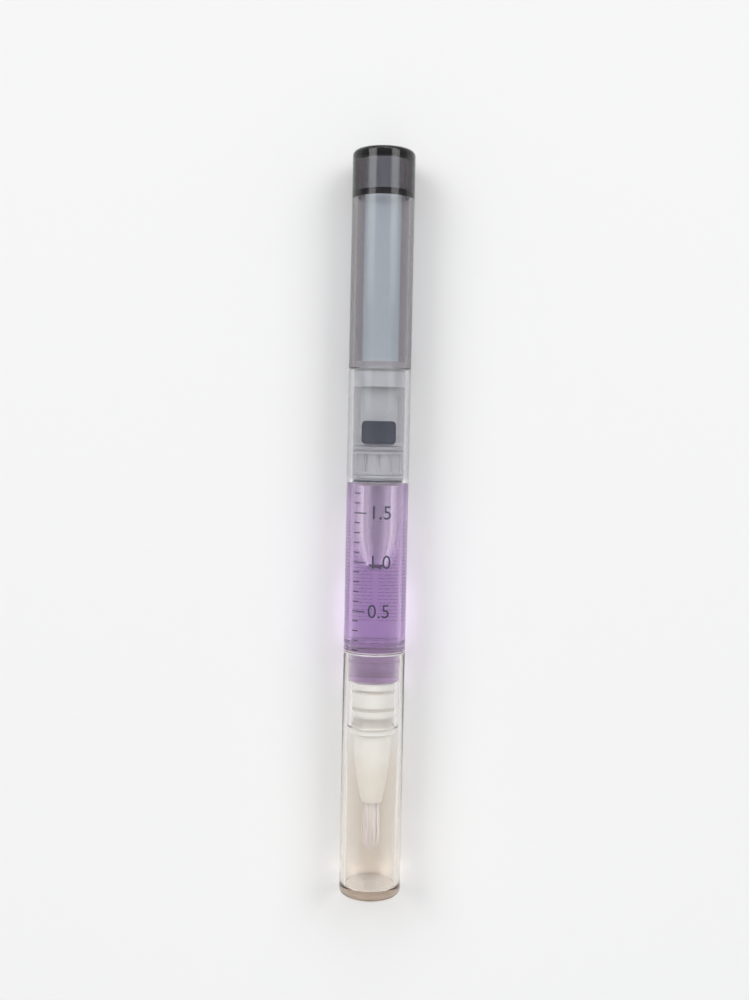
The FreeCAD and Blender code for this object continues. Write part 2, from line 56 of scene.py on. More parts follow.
BODY = 5.25
PEN_END = 126.0
RIM_ROUND = 0.15
END_ROUND = 0.8
SHOULDER = 42.15
CAP_RIM = 42.0
CAP_MOUTH_BORE = 4.61
CAP_MOUTH_ROUND = 0.08
CAP_TAPER_BACK = 28.5
CAP_TAPER_FRONT = 20.5
CAP_BORE = 4.3
CAP_FLOOR = 1.6
CAP_FLOOR_ROUND = 0.5
NECK = 4.45
NECK_ROOT_ROUND = 0.1
NECK_BEAD_FRONT = 39.55
NECK_BEAD_BACK = 40.55
NECK_BEAD_HEIGHT = 0.06
NECK_BORE = 3.7
NECK_END = 29.15
BORE = 4.4
BORE_START = 43.35
BORE_CONE_BACK = 44.05
BARREL_BACK = 89.65
KNOB_FRONT = 89.8
KNOB_BORE_BACK = 118.12
KNOB_SOCKET = 3.12
KNOB_SOCKET_FRONT = 119.4
KNOB_FLOOR = 124.4
PLUG_FLOOR = 29.6
PLUG_TOP = 37.0
PLUG_RECESS = 2.9
CONE_TIP = 16.05
TUBE = 0.6
TUBE_FRONT = 12.55
BRUSH_TIP = 7.45
PISTON_FRONT = 70.65
NOSE = 2.78
NOSE_TIP = 55.85
NOSE_TAPER = 7.5
NOSE_TIP_RADIUS = 1.7
NOSE_FLAT = 0.2
NOSE_WALL = 0.45
NOSE_RIDGE_FRONT = 66.15
NOSE_RIDGE_BACK = 66.65
NOSE_RIDGE_HEIGHT = 0.17
RULE = 71.0


def place(x, station, z):
    """Point of the row frame, in metres, from millimetres across, along and above the pen's axis."""
    return Vector((x * MM, (station - HALF_LENGTH) * MM, (AXIS_HEIGHT + z) * MM))


def on_cylinder(radius, angle, station):
    """Point at an angle about the pen's axis. Angle 0 faces up and grows towards +X."""
    return place(radius * math.sin(angle), station, radius * math.cos(angle))


def rounded(outline, steps=6):
    """Outline whose corners given as (radius, station, fillet) are replaced by small arcs."""
    points = []
    for index, corner in enumerate(outline):
        if len(corner) == 2:
            points.append(corner)
            continue
        at = Vector(corner[:2])
        before = (Vector(outline[index - 1][:2]) - at).normalized()
        after = (Vector(outline[(index + 1) % len(outline)][:2]) - at).normalized()
        half = before.angle(after) / 2
        reach = corner[2] / math.tan(half)
        centre = at + (before + after).normalized() * (corner[2] / math.sin(half))
        first = at + before * reach - centre
        last = at + after * reach - centre
        for step in range(steps + 1):
            arm = first.lerp(last, step / steps).normalized() * corner[2]
            points.append(tuple(centre + arm))
    return points


def ogive(radius, length, tip_radius, tip, steps=20):
    """Round nose from the axis to its full radius, of two tangent arcs round a small flat."""
    reach = radius - NOSE_FLAT
    drop = length - tip_radius
    side = (reach**2 + drop**2 - tip_radius**2) / (2 * (reach - tip_radius))
    across = side - reach
    join = math.atan2(-drop, across)
    points = [(0.0, tip)]
    for step in range(steps + 1):
        angle = -math.pi / 2 + (join + math.pi / 2) * step / steps
        across_tip = NOSE_FLAT + tip_radius * math.cos(angle)
        points.append((across_tip, tip + tip_radius + tip_radius * math.sin(angle)))
    for step in range(1, steps + 1):
        angle = join * (1 - step / steps)
        across_side = NOSE_FLAT - across + side * math.cos(angle)
        points.append((across_side, tip + length + side * math.sin(angle)))
    return points


def finish_mesh(name, mesh_data, material):
    """Object of a bmesh, shaded smooth with sharp creases."""
    bmesh.ops.recalc_face_normals(mesh_data, faces=mesh_data.faces)
    mesh = bpy.data.meshes.new(name)
    mesh_data.to_mesh(mesh)
    mesh_data.free()
    mesh.shade_smooth()
    mesh.set_sharp_from_angle(angle=SHARP_ANGLE)
    mesh.materials.append(material)
    piece = bpy.data.objects.new(name, mesh)
    bpy.context.scene.collection.objects.link(piece)
    return piece


def lathe(name, outline, material, segments=SEGMENTS, cut=None):
    """Closed outline turned about the pen's axis. cut gives a depth for a radius, station and angle."""
    mesh_data = bmesh.new()
    rings = []
    for radius, station in rounded(outline):
        if radius < ON_AXIS:
            rings.append([mesh_data.verts.new(place(0, station, 0))])
        else:
            ring = []
            for i in range(segments):
                angle = 2 * math.pi * i / segments
                depth = cut(radius, station, angle) if cut else 0.0
                ring.append(mesh_data.verts.new(on_cylinder(radius - depth, angle, station)))
            rings.append(ring)
    for near, far in zip(rings, rings[1:] + rings[:1]):
        if len(near) == 1 and len(far) == 1:
            continue
        for i in range(segments):
            j = (i + 1) % segments
            loop = [near[i % len(near)], near[j % len(near)], far[j % len(far)], far[i % len(far)]]
            mesh_data.faces.new(list(dict.fromkeys(loop)))
    return finish_mesh(name, mesh_data, material)


# Materials

NOISE_LOW = 0.3
NOISE_HIGH = 0.7
PLASTIC_IOR = 1.49
OIL_IOR = 1.47
MARK_SCALE = 900
MARK_SPAN = (0.6, 1.6)
WAVE_SCALE = 160
WAVE_HEIGHT = 0.0001
WAVE_STRENGTH = 0.06
MOTTLE_SCALE = 420
GRAIN_SCALE = 5000
GRAIN_SPAN = (0.8, 1.25)
GRAIN_HEIGHT = 0.00002
NYLON_SCALE = 6000
NYLON_ROUGHNESS = (0.28, 0.45)
NYLON_GLOW_DEPTH = 0.0003
BRUSHED_SCALE = 3000
BRUSHED_ROUGHNESS = (0.22, 0.4)


def new_material(name):
    """Material with its shader nodes and their links."""
    material = bpy.data.materials.new(name)
    material.use_nodes = True
    return material, material.node_tree.nodes, material.node_tree.links


def surface_noise(tree_nodes, links, scale, detail):
    """Noise over the piece, scale in features to a metre."""
    coordinates = tree_nodes.new("ShaderNodeTexCoord")
    noise = tree_nodes.new("ShaderNodeTexNoise")
    noise.inputs["Scale"].default_value = scale
    noise.inputs["Detail"].default_value = detail
    links.new(coordinates.outputs["Object"], noise.inputs["Vector"])
    return noise


def spread(tree_nodes, links, source, low, high):
    """Maps the usual span of a noise value to a range."""
    remap = tree_nodes.new("ShaderNodeMapRange")
    remap.inputs["From Min"].default_value = NOISE_LOW
    remap.inputs["From Max"].default_value = NOISE_HIGH
    remap.inputs["To Min"].default_value = low
    remap.inputs["To Max"].default_value = high
    links.new(source.outputs["Fac"], remap.inputs["Value"])
    return remap


def add_bump(tree_nodes, links, shader, source, height, strength):
    """Small relief on the shader from a noise, height in metres."""
    bump = tree_nodes.new("ShaderNodeBump")
    bump.inputs["Distance"].default_value = height
    bump.inputs["Strength"].default_value = strength
    links.new(source.outputs["Fac"], bump.inputs["Height"])
    links.new(bump.outputs["Normal"], shader.inputs["Normal"])


def clear_plastic(name, colour, roughness, ior=PLASTIC_IOR):
    """Clear plastic coloured at its faces, with faint flow waves and handling marks."""
    material, tree_nodes, links = new_material(name)
    shader = tree_nodes["Principled BSDF"]
    shader.inputs["Base Color"].default_value = (*colour, 1)
    shader.inputs["Transmission Weight"].default_value = 1
    shader.inputs["IOR"].default_value = ior
    marks = surface_noise(tree_nodes, links, MARK_SCALE, 4)
    remap = spread(tree_nodes, links, marks, *(roughness * share for share in MARK_SPAN))
    links.new(remap.outputs["Result"], shader.inputs["Roughness"])
    waves = surface_noise(tree_nodes, links, WAVE_SCALE, 1)
    add_bump(tree_nodes, links, shader, waves, WAVE_HEIGHT, WAVE_STRENGTH)
    return material


def colour_along(material, stops, interpolation):
    """Colours the faces by their station along the pen."""
    tree = material.node_tree
    coordinates = tree.nodes.new("ShaderNodeTexCoord")
    split = tree.nodes.new("ShaderNodeSeparateXYZ")
    along = tree.nodes.new("ShaderNodeMapRange")
    along.inputs["From Min"].default_value = place(0, 0, 0).y
    along.inputs["From Max"].default_value = place(0, PEN_END, 0).y
    ramp = tree.nodes.new("ShaderNodeValToRGB")
    ramp.color_ramp.interpolation = interpolation
    while len(ramp.color_ramp.elements) < len(stops):
        ramp.color_ramp.elements.new(0.5)
    for element, (station, colour) in zip(ramp.color_ramp.elements, stops):
        element.position = station / PEN_END
        element.color = (*colour, 1)
    tree.links.new(coordinates.outputs["Object"], split.inputs["Vector"])
    tree.links.new(split.outputs["Y"], along.inputs["Value"])
    tree.links.new(along.outputs["Result"], ramp.inputs["Fac"])
    tree.links.new(ramp.outputs["Color"], tree.nodes["Principled BSDF"].inputs["Base Color"])


def tint_depth(material, colour, density):
    """Colours light by how far it goes through a clear piece."""
    tree = material.node_tree
    depth = tree.nodes.new("ShaderNodeVolumeAbsorption")
    depth.inputs["Color"].default_value = (*colour, 1)
    depth.inputs["Density"].default_value = density
    tree.links.new(depth.outputs["Volume"], tree.nodes["Material Output"].inputs["Volume"])


def solid_plastic(name, light, dark, roughness, grain, transmission=0.0):
    """Moulded plastic with a fine grain, slightly mottled between two close colours."""
    material, tree_nodes, links = new_material(name)
    shader = tree_nodes["Principled BSDF"]
    mottle = surface_noise(tree_nodes, links, MOTTLE_SCALE, 3)
    ramp = tree_nodes.new("ShaderNodeValToRGB")
    ramp.color_ramp.elements[0].position = NOISE_LOW
    ramp.color_ramp.elements[0].color = (*dark, 1)
    ramp.color_ramp.elements[1].position = NOISE_HIGH
    ramp.color_ramp.elements[1].color = (*light, 1)
    links.new(mottle.outputs["Fac"], ramp.inputs["Fac"])
    links.new(ramp.outputs["Color"], shader.inputs["Base Color"])
    fine = surface_noise(tree_nodes, links, GRAIN_SCALE, 2)
    remap = spread(tree_nodes, links, fine, *(roughness * share for share in GRAIN_SPAN))
    links.new(remap.outputs["Result"], shader.inputs["Roughness"])
    add_bump(tree_nodes, links, shader, fine, GRAIN_HEIGHT, grain)
    shader.inputs["Transmission Weight"].default_value = transmission
    shader.inputs["IOR"].default_value = PLASTIC_IOR
    return material


def bristle_nylon(name):
    """Pale nylon filaments, each of a slightly different shade."""
    material, tree_nodes, links = new_material(name)
    shader = tree_nodes["Principled BSDF"]
    geometry = tree_nodes.new("ShaderNodeNewGeometry")
    ramp = tree_nodes.new("ShaderNodeValToRGB")
    ramp.color_ramp.elements[0].color = (0.905, 0.868, 0.87, 1)
    ramp.color_ramp.elements[1].color = (0.965, 0.932, 0.935, 1)
    links.new(geometry.outputs["Random Per Island"], ramp.inputs["Fac"])
    links.new(ramp.outputs["Color"], shader.inputs["Base Color"])
    fine = surface_noise(tree_nodes, links, NYLON_SCALE, 2)
    remap = spread(tree_nodes, links, fine, *NYLON_ROUGHNESS)
    links.new(remap.outputs["Result"], shader.inputs["Roughness"])
    shader.inputs["Subsurface Weight"].default_value = 0.3
    shader.inputs["Subsurface Radius"].default_value = (1.0, 0.9, 0.8)
    shader.inputs["Subsurface Scale"].default_value = NYLON_GLOW_DEPTH
    return material


def spring_steel(name):
    """Bare spring steel with a brushed roughness."""
    material, tree_nodes, links = new_material(name)
    shader = tree_nodes["Principled BSDF"]
    shader.inputs["Base Color"].default_value = (0.62, 0.62, 0.64, 1)
    shader.inputs["Metallic"].default_value = 1
    brushed = surface_noise(tree_nodes, links, BRUSHED_SCALE, 4)
    remap = spread(tree_nodes, links, brushed, *BRUSHED_ROUGHNESS)
    links.new(remap.outputs["Result"], shader.inputs["Roughness"])
    return material


PLUG_RIB = (0.92, 0.905, 0.865)
# Painted shade: darker colour in the plug's grooves between the ribs
PLUG_GROOVE_PAINTED_SHADE = (0.66, 0.63, 0.585)
PLUG_GROOVES = [(29.2, 30.95), (32.2, 32.55), (35.25, 35.6)]
PLUG_GROOVE_EDGE = 0.1


def plug_bands():
    """Colours along the plug: ribs, and the grooves between them coloured darker as painted shade."""
    bands = []
    for front, back in PLUG_GROOVES:
        bands += [(front - PLUG_GROOVE_EDGE, PLUG_RIB), (front, PLUG_GROOVE_PAINTED_SHADE)]
        bands += [(back, PLUG_GROOVE_PAINTED_SHADE), (back + PLUG_GROOVE_EDGE, PLUG_RIB)]
    return bands


# Colours of the clear plastics along the pen, the cap's warmer towards its closed end, and the barrel
# darker behind the rule as painted shade

CAP_WARM = (0.965, 0.94, 0.905)
CAP_MOUTH = (1.0, 0.995, 0.99)
NECK_COLOUR = (1.0, 1.0, 1.0)
BARREL_COLOUR = (0.975, 0.965, 0.98)
BARREL_REAR_PAINTED_SHADE = (0.77, 0.765, 0.785)

cap_clear = clear_plastic("cap_clear", CAP_WARM, 0.04)
colour_along(cap_clear, [(CAP_TAPER_FRONT, CAP_WARM), (CAP_TAPER_BACK, CAP_MOUTH)], "LINEAR")
tint_depth(cap_clear, (0.60, 0.37, 0.17), 40)
barrel_clear = clear_plastic("barrel_clear", BARREL_COLOUR, 0.04)
# the band behind the rule is painted shade
barrel_bands = [(0.0, NECK_COLOUR), (SHOULDER, BARREL_COLOUR), (RULE, BARREL_REAR_PAINTED_SHADE)]
colour_along(barrel_clear, barrel_bands, "CONSTANT")
tint_depth(barrel_clear, (0.50, 0.48, 0.54), 60)
nose_clear = clear_plastic("nose_clear", (0.95, 0.95, 0.96), 0.06)
# Knob: smoke tint dense enough that its sides read dark, part smoked plastic and part painted shade
knob_smoke_and_painted_shade = clear_plastic("knob_smoke_and_painted_shade", (0.97, 0.965, 0.985), 0.04)
tint_depth(knob_smoke_and_painted_shade, (0.50, 0.47, 0.49), 900)
oil_lavender = clear_plastic("oil_lavender", (1.0, 0.98, 1.0), 0.008, ior=OIL_IOR)
tint_depth(oil_lavender, (0.66, 0.02, 0.99), 45)
white_plastic = solid_plastic("white_plastic", (0.93, 0.92, 0.885), (0.89, 0.88, 0.84), 0.36, 0.25)
plug_white = solid_plastic("plug_white", (0.93, 0.92, 0.885), (0.89, 0.88, 0.84), 0.36, 0.25)
# painted shade in the plug's grooves
colour_along(plug_white, plug_bands(), "LINEAR")
core_plastic = solid_plastic("core_plastic", (0.84, 0.97, 1.0), (0.80, 0.93, 0.965), 0.24, 0.12)
frosted = solid_plastic("frosted", (0.95, 0.95, 0.96), (0.91, 0.91, 0.925), 0.42, 0.3, transmission=0.3)
nut_plastic = solid_plastic("nut_plastic", (0.78, 0.80, 0.80), (0.73, 0.75, 0.75), 0.34, 0.3)
silicone = solid_plastic("silicone", (0.70, 0.70, 0.72), (0.64, 0.64, 0.66), 0.5, 0.2)
print_ink = solid_plastic("print_ink", (0.055, 0.060, 0.080), (0.045, 0.050, 0.068), 0.45, 0.15)
fine_ink = solid_plastic("fine_ink", (0.36, 0.34, 0.44), (0.30, 0.28, 0.38), 0.45, 0.15)
nylon = bristle_nylon("nylon")
steel = spring_steel("steel")
# Whitened plastic for the rim rings: scuff wear and painted highlight
scuffed_and_highlight = solid_plastic("scuffed_and_highlight", (0.95, 0.94, 0.95), (0.80, 0.78, 0.80), 0.5, 0.3, transmission=0.4)

for name, material in {
    "tip_plug": plug_white,
    "brush_cone": white_plastic,
    "brush_retainer": white_plastic,
    "feed_tube": white_plastic,
    "lead_screw": white_plastic,
    "drive_tube": core_plastic,
    "drive_nut": nut_plastic,
    "click_ring": steel,
    "front_piston_ring": silicone,
    "rear_piston_ring": silicone,
}.items():
    nodes[name].data.materials.clear()
    nodes[name].data.materials.append(material)


def dress(piece, body, node):
    """A piece that rides on a body and stands for a CAD node."""
    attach(piece, body)
    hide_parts(node)


# Clear shells

cap = lathe("cap_shell_clear", [
    (0.0, 0.0),
    (BODY, 0.0, END_ROUND),
    (BODY, CAP_RIM, RIM_ROUND),
    (CAP_MOUTH_BORE, CAP_RIM, CAP_MOUTH_ROUND),
    (CAP_MOUTH_BORE, CAP_TAPER_BACK),
    (CAP_BORE, CAP_TAPER_FRONT),
    (CAP_BORE, CAP_FLOOR, CAP_FLOOR_ROUND),
    (0.0, CAP_FLOOR),
], cap_clear)
dress(cap, "cap", "cap_shell")

barrel = lathe("barrel_clear", [
    (NECK_BORE, NECK_END),
    (NECK, NECK_END, RIM_ROUND),
    (NECK, NECK_BEAD_FRONT),
    (NECK + NECK_BEAD_HEIGHT, NECK_BEAD_FRONT + NECK_BEAD_HEIGHT),
    (NECK + NECK_BEAD_HEIGHT, NECK_BEAD_BACK - NECK_BEAD_HEIGHT),
    (NECK, NECK_BEAD_BACK),
    (NECK, SHOULDER, NECK_ROOT_ROUND),
    (BODY, SHOULDER, RIM_ROUND),
    (BODY, BARREL_BACK, RIM_ROUND),
    (BORE, BARREL_BACK),
    (BORE, BORE_CONE_BACK),
    (NECK_BORE, BORE_START),
], barrel_clear)
dress(barrel, "barrel", "barrel")

# smoked knob, its darkness partly painted shade
knob = lathe("knob_shell_smoke_and_painted_shade", [
    (BORE, KNOB_FRONT),
    (BODY, KNOB_FRONT, RIM_ROUND),
    (BODY, PEN_END, END_ROUND),
    (0.0, PEN_END),
    (0.0, KNOB_FLOOR),
    (KNOB_SOCKET, KNOB_FLOOR),
    (KNOB_SOCKET, KNOB_SOCKET_FRONT),
    (BORE, KNOB_BORE_BACK),
], knob_smoke_and_painted_shade)
dress(knob, "knob", "knob_shell")

# Oil, in three parts: a ring in front of the piston's front, a core round its nose,
# and a ring that stays in the neck. They reach a little into each other and into what holds them,
# so no film of air shows.

LAP = 0.04
CORE = 3.02
nose_lap = [(max(r - LAP, 0.0), s + LAP) for r, s in ogive(NOSE, NOSE_TAPER, NOSE_TIP_RADIUS, NOSE_TIP)]
oil_column = lathe("oil_column", [
    (CORE - LAP, BORE_CONE_BACK - LAP),
    (BORE + LAP, BORE_CONE_BACK - LAP),
    (BORE + LAP, PISTON_FRONT + LAP),
    (CORE - LAP, PISTON_FRONT + LAP),
], oil_lavender)
oil_core = lathe("oil_core", [
    (0.0, PLUG_FLOOR - LAP),
    (PLUG_RECESS + LAP, PLUG_FLOOR - LAP),
    (PLUG_RECESS + LAP, PLUG_TOP - LAP),
    (CORE, PLUG_TOP - LAP),
    (CORE, PISTON_FRONT + LAP),
    (NOSE - LAP, PISTON_FRONT + LAP),
] + nose_lap[::-1], oil_lavender)
oil_neck = lathe("oil_neck", [
    (CORE - LAP, PLUG_TOP - LAP),
    (NECK_BORE + LAP, PLUG_TOP - LAP),
    (NECK_BORE + LAP, BORE_START - LAP),
    (BORE + LAP, BORE_CONE_BACK - LAP),
    (BORE + LAP, BORE_CONE_BACK + LAP),
    (CORE - LAP, BORE_CONE_BACK + LAP),
], oil_lavender)
for piece in (oil_column, oil_core, oil_neck):
    dress(piece, "barrel", "oil_fill")


def press_flat(piece):
    """Gives a piece of oil its own copy of its mesh."""
    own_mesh(piece)


press_flat(oil_column)
press_flat(oil_core)

# Piston: a clear hollow nose in the oil, and a frosted skirt with two lands for the seal rings

SKIRT_LAP = 0.4
hollow = ogive(NOSE - NOSE_WALL, NOSE_TAPER - NOSE_WALL, NOSE_TIP_RADIUS - NOSE_WALL, NOSE_TIP + NOSE_WALL)
piston_nose = lathe("piston_nose", ogive(NOSE, NOSE_TAPER, NOSE_TIP_RADIUS, NOSE_TIP) + [
    (NOSE, NOSE_RIDGE_FRONT),
    (NOSE + NOSE_RIDGE_HEIGHT, NOSE_RIDGE_FRONT),
    (NOSE + NOSE_RIDGE_HEIGHT, NOSE_RIDGE_BACK),
    (NOSE, NOSE_RIDGE_BACK),
    (NOSE, PISTON_FRONT + SKIRT_LAP),
    (NOSE - NOSE_WALL, PISTON_FRONT + SKIRT_LAP),
] + hollow[::-1], nose_clear)
dress(piston_nose, "piston", "piston")

FLUTES = 12
FLUTE_RADIUS = 0.3
SKIRT = 3.95
SKIRT_SEGMENTS = 360
SKIRT_BORE = 2.65
SKIRT_BACK = 77.35
LAND = 4.28
LAND_ROUND = 0.08
RING_SEAT = 3.44
FRONT_SEAT = (71.1, 72.06)
REAR_SEAT = (75.94, 76.9)
FLUTED = (72.51, 75.49)
CLIP_BORE = 1.52
CLIP = (71.82, 72.42)


def flute_depth(radius, station, angle):
    """Depth of the round flutes along the skirt between the lands."""
    if radius != SKIRT:
        return 0.0
    turn = 2 * math.pi / FLUTES
    aside = SKIRT * math.sin((angle + turn / 2) % turn - turn / 2)
    return math.sqrt(max(FLUTE_RADIUS**2 - aside**2, 0.0))


piston_skirt = lathe("piston_skirt", [
    (SKIRT_BORE, PISTON_FRONT),
    (LAND, PISTON_FRONT, LAND_ROUND),
    (LAND, FRONT_SEAT[0]),
    (RING_SEAT, FRONT_SEAT[0]),
    (RING_SEAT, FRONT_SEAT[1]),
    (LAND, FRONT_SEAT[1]),
    (LAND, FLUTED[0]),
    (SKIRT, FLUTED[0]),
    (SKIRT, FLUTED[1]),
    (LAND, FLUTED[1]),
    (LAND, REAR_SEAT[0]),
    (RING_SEAT, REAR_SEAT[0]),
    (RING_SEAT, REAR_SEAT[1]),
    (LAND, REAR_SEAT[1]),
    (LAND, SKIRT_BACK, LAND_ROUND),
    (SKIRT_BORE, SKIRT_BACK),
    (SKIRT_BORE, CLIP[1]),
    (CLIP_BORE, CLIP[1]),
    (CLIP_BORE, CLIP[0]),
    (SKIRT_BORE, CLIP[0]),
], frosted, segments=SKIRT_SEGMENTS, cut=flute_depth)
dress(piston_skirt, "piston", "piston")

# Brush: a bundle of filaments round the feed tube

FILAMENTS = 190
FILAMENT_RADIUS = 0.085
FILAMENT_SIDES = 6
FILAMENT_STEPS = 18
BRUSH_ROOT = 21.9
BUNDLE_MOUTH = 1.40
BUNDLE_BELLY = 1.60
BUNDLE_POINT = 0.76
BELLY_LENGTH = 6.4
POINT_CURVE = 2
TUBE_CLOSE = 1.2
TIP_TAPER_FROM = 0.8
TIP_TAPER = 0.65
TURN_SCATTER = 0.12
SWAY = 0.06
TIP_ROUND = 0.75
TIP_SCATTER = 0.45
GOLDEN_ANGLE = math.pi * (3 - math.sqrt(5))
random.seed(7)


def bundle_radius(station):
    """Radius of the bundle: it widens a little from the cone's mouth and ends in a rounded point."""
    belly = CONE_TIP - BELLY_LENGTH
    if station > CONE_TIP:
        return BUNDLE_MOUTH
    if station > belly:
        return BUNDLE_MOUTH + (BUNDLE_BELLY - BUNDLE_MOUTH) * (CONE_TIP - station) / BELLY_LENGTH
    share = (belly - station) / (belly - BRUSH_TIP)
    return BUNDLE_BELLY - (BUNDLE_BELLY - BUNDLE_POINT) * share**POINT_CURVE


def filament_path(index):
    """Radius, angle and station along one filament, from its root to its tip."""
    share = math.sqrt((index + 0.5) / FILAMENTS)
    angle = index * GOLDEN_ANGLE + random.uniform(-TURN_SCATTER, TURN_SCATTER)
    sway = random.uniform(-SWAY, SWAY)
    tip = BRUSH_TIP + TIP_ROUND * share**2 + random.uniform(0.0, TIP_SCATTER)
    points = []
    for step in range(FILAMENT_STEPS + 1):
        along = step / FILAMENT_STEPS
        station = BRUSH_ROOT + (tip - BRUSH_ROOT) * along
        outer = bundle_radius(station)
        open_middle = min(max((station - TUBE_FRONT + TUBE_CLOSE) / TUBE_CLOSE, 0), 1)
        inner = (TUBE + FILAMENT_RADIUS) * open_middle
        radius = math.sqrt(inner**2 + share**2 * (outer**2 - inner**2))
        points.append((radius, angle + sway * math.sin(along * math.pi * 2), station))
    return points


def make_brush():
    """All filaments as one mesh, each a closed tapered rod."""
    mesh_data = bmesh.new()
    for index in range(FILAMENTS):
        path = [on_cylinder(*point) for point in filament_path(index)]
        rings = []
        for step, centre in enumerate(path):
            along = step / FILAMENT_STEPS
            taper = TIP_TAPER * max(0, (along - TIP_TAPER_FROM) / (1 - TIP_TAPER_FROM))
            thickness = FILAMENT_RADIUS * (1 - taper) * MM
            ring = []
            for side in range(FILAMENT_SIDES):
                angle = 2 * math.pi * side / FILAMENT_SIDES
                outwards = Vector((math.cos(angle), 0, math.sin(angle)))
                ring.append(mesh_data.verts.new(centre + outwards * thickness))
            rings.append(ring)
        for near, far in zip(rings, rings[1:]):
            for i in range(FILAMENT_SIDES):
                j = (i + 1) % FILAMENT_SIDES
                mesh_data.faces.new([near[i], near[j], far[j], far[i]])
        mesh_data.faces.new(rings[0])
        mesh_data.faces.new(rings[-1])
    return finish_mesh("brush_filaments", mesh_data, nylon)


dress(make_brush(), "barrel", "brush")

# Print on the barrel: a plain dark plate, a rule and a content gauge with numbers,
# and rows of dashes on the back

INK_PROUD = 0.012
INK_RADIUS = BODY + INK_PROUD
INK_DEPTH = 0.02
INK_STEP = 0.2
INK_WELD = 0.0005
GAUGE_TOP = PISTON_FRONT
GAUGE_STEP = 1.644
GAUGE_MARKS = 18
GAUGE_LEFT = -4.2
MARK_LONG = 2.4
MARK_SHORT = 1.2
MARK_HALF_WIDTH = 0.09
NUMBER_EVERY = 5
NUMBER_HEIGHT = 2.3
NUMBER_X = 0.6
FONT_TO_DIGIT = 1.4
PLATE_ROUND = 0.7
PLATE_HALF_LENGTH = 3.0
PLATE_SPAN = (77.2, 81.0)
RULE_HALF_LENGTH = 4.6
RULE_HALF_WIDTH = 0.12
FINE_FRONT = 47.0
FINE_STEP = 0.6
FINE_ROWS = 29
FINE_HALF_WIDTH = 0.05
FINE_GAP = 0.09
FINE_COLUMNS = (-1.4, 0.2)
FINE_DASHES = ((0.4, 0.22, 0.4), (0.25, 0.5, 0.27), (0.5, 0.3, 0.2), (0.2, 0.36, 0.46))


def flat_plate(x0, x1, y0, y1, corner=0.0):
    """Rectangle with rounded corners, as a flat mesh of millimetres."""
    outline = [(x0, y0, corner), (x1, y0, corner), (x1, y1, corner), (x0, y1, corner)]
    if not corner:
        outline = [point[:2] for point in outline]
    points = rounded(outline)
    mesh = bpy.data.meshes.new("plate")
    mesh.from_pydata([(x, y, 0) for x, y in points], [], [list(range(len(points)))])
    return mesh


def flat_number(text, height, x, y):
    """Number set in the built-in font, centred on a point, as a flat mesh of millimetres."""
    curve = bpy.data.curves.new("number", "FONT")
    curve.body = text
    curve.size = height * FONT_TO_DIGIT
    curve.align_x = "CENTER"
    curve.align_y = "CENTER"
    curve.resolution_u = 4
    holder = bpy.data.objects.new("number", curve)
    bpy.context.scene.collection.objects.link(holder)
    bpy.context.view_layer.update()
    mesh = bpy.data.meshes.new_from_object(holder.evaluated_get(bpy.context.evaluated_depsgraph_get()))
    bpy.data.objects.remove(holder)
    mesh.transform(Matrix.Translation((x, y, 0)))
    return mesh


def make_print(name, flat_meshes, material):
    """Bends flat meshes (x round the barrel, y along it) onto the barrel as one thin film of ink."""
    ink = bmesh.new()
    for flat in flat_meshes:
        ink.from_mesh(flat)
        bpy.data.meshes.remove(flat)
    bmesh.ops.remove_doubles(ink, verts=ink.verts, dist=INK_WELD)
    bmesh.ops.triangulate(ink, faces=ink.faces)
    while True:
        wide = [edge for edge in ink.edges if abs(edge.verts[0].co.x - edge.verts[1].co.x) > INK_STEP]
        if not wide:
            break
        bmesh.ops.subdivide_edges(ink, edges=wide, cuts=1)
        bmesh.ops.triangulate(ink, faces=ink.faces)
    for item in bmesh.ops.extrude_face_region(ink, geom=ink.faces[:])["geom"]:
        if isinstance(item, bmesh.types.BMVert):
            item.co.z -= INK_DEPTH
    for vert in ink.verts:
        vert.co = on_cylinder(INK_RADIUS + vert.co.z, vert.co.x / BODY, vert.co.y)
    piece = finish_mesh(name, ink, material)
    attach(piece, "barrel")


prints = [
    flat_plate(-PLATE_HALF_LENGTH, PLATE_HALF_LENGTH, *PLATE_SPAN, PLATE_ROUND),
    flat_plate(-RULE_HALF_LENGTH, RULE_HALF_LENGTH, RULE - RULE_HALF_WIDTH, RULE + RULE_HALF_WIDTH),
]
for mark in range(1, GAUGE_MARKS):
    station = GAUGE_TOP - GAUGE_STEP * (GAUGE_MARKS - mark)
    numbered = mark % NUMBER_EVERY == 0
    mark_end = GAUGE_LEFT + (MARK_LONG if numbered else MARK_SHORT)
    prints.append(flat_plate(GAUGE_LEFT, mark_end, station - MARK_HALF_WIDTH, station + MARK_HALF_WIDTH))
    if numbered:
        prints.append(flat_number("%.1f" % (mark / 10), NUMBER_HEIGHT, NUMBER_X, station))
make_print("barrel_print", prints, print_ink)
fine_rows = []
for row in range(FINE_ROWS):
    station = FINE_FRONT + FINE_STEP * row
    for column, start in enumerate(FINE_COLUMNS):
        left = BODY * math.pi + start
        for dash in FINE_DASHES[(row + column) % len(FINE_DASHES)]:
            low, high = station - FINE_HALF_WIDTH, station + FINE_HALF_WIDTH
            fine_rows.append(flat_plate(left, left + dash, low, high))
            left += dash + FINE_GAP
make_print("back_print", fine_rows, fine_ink)
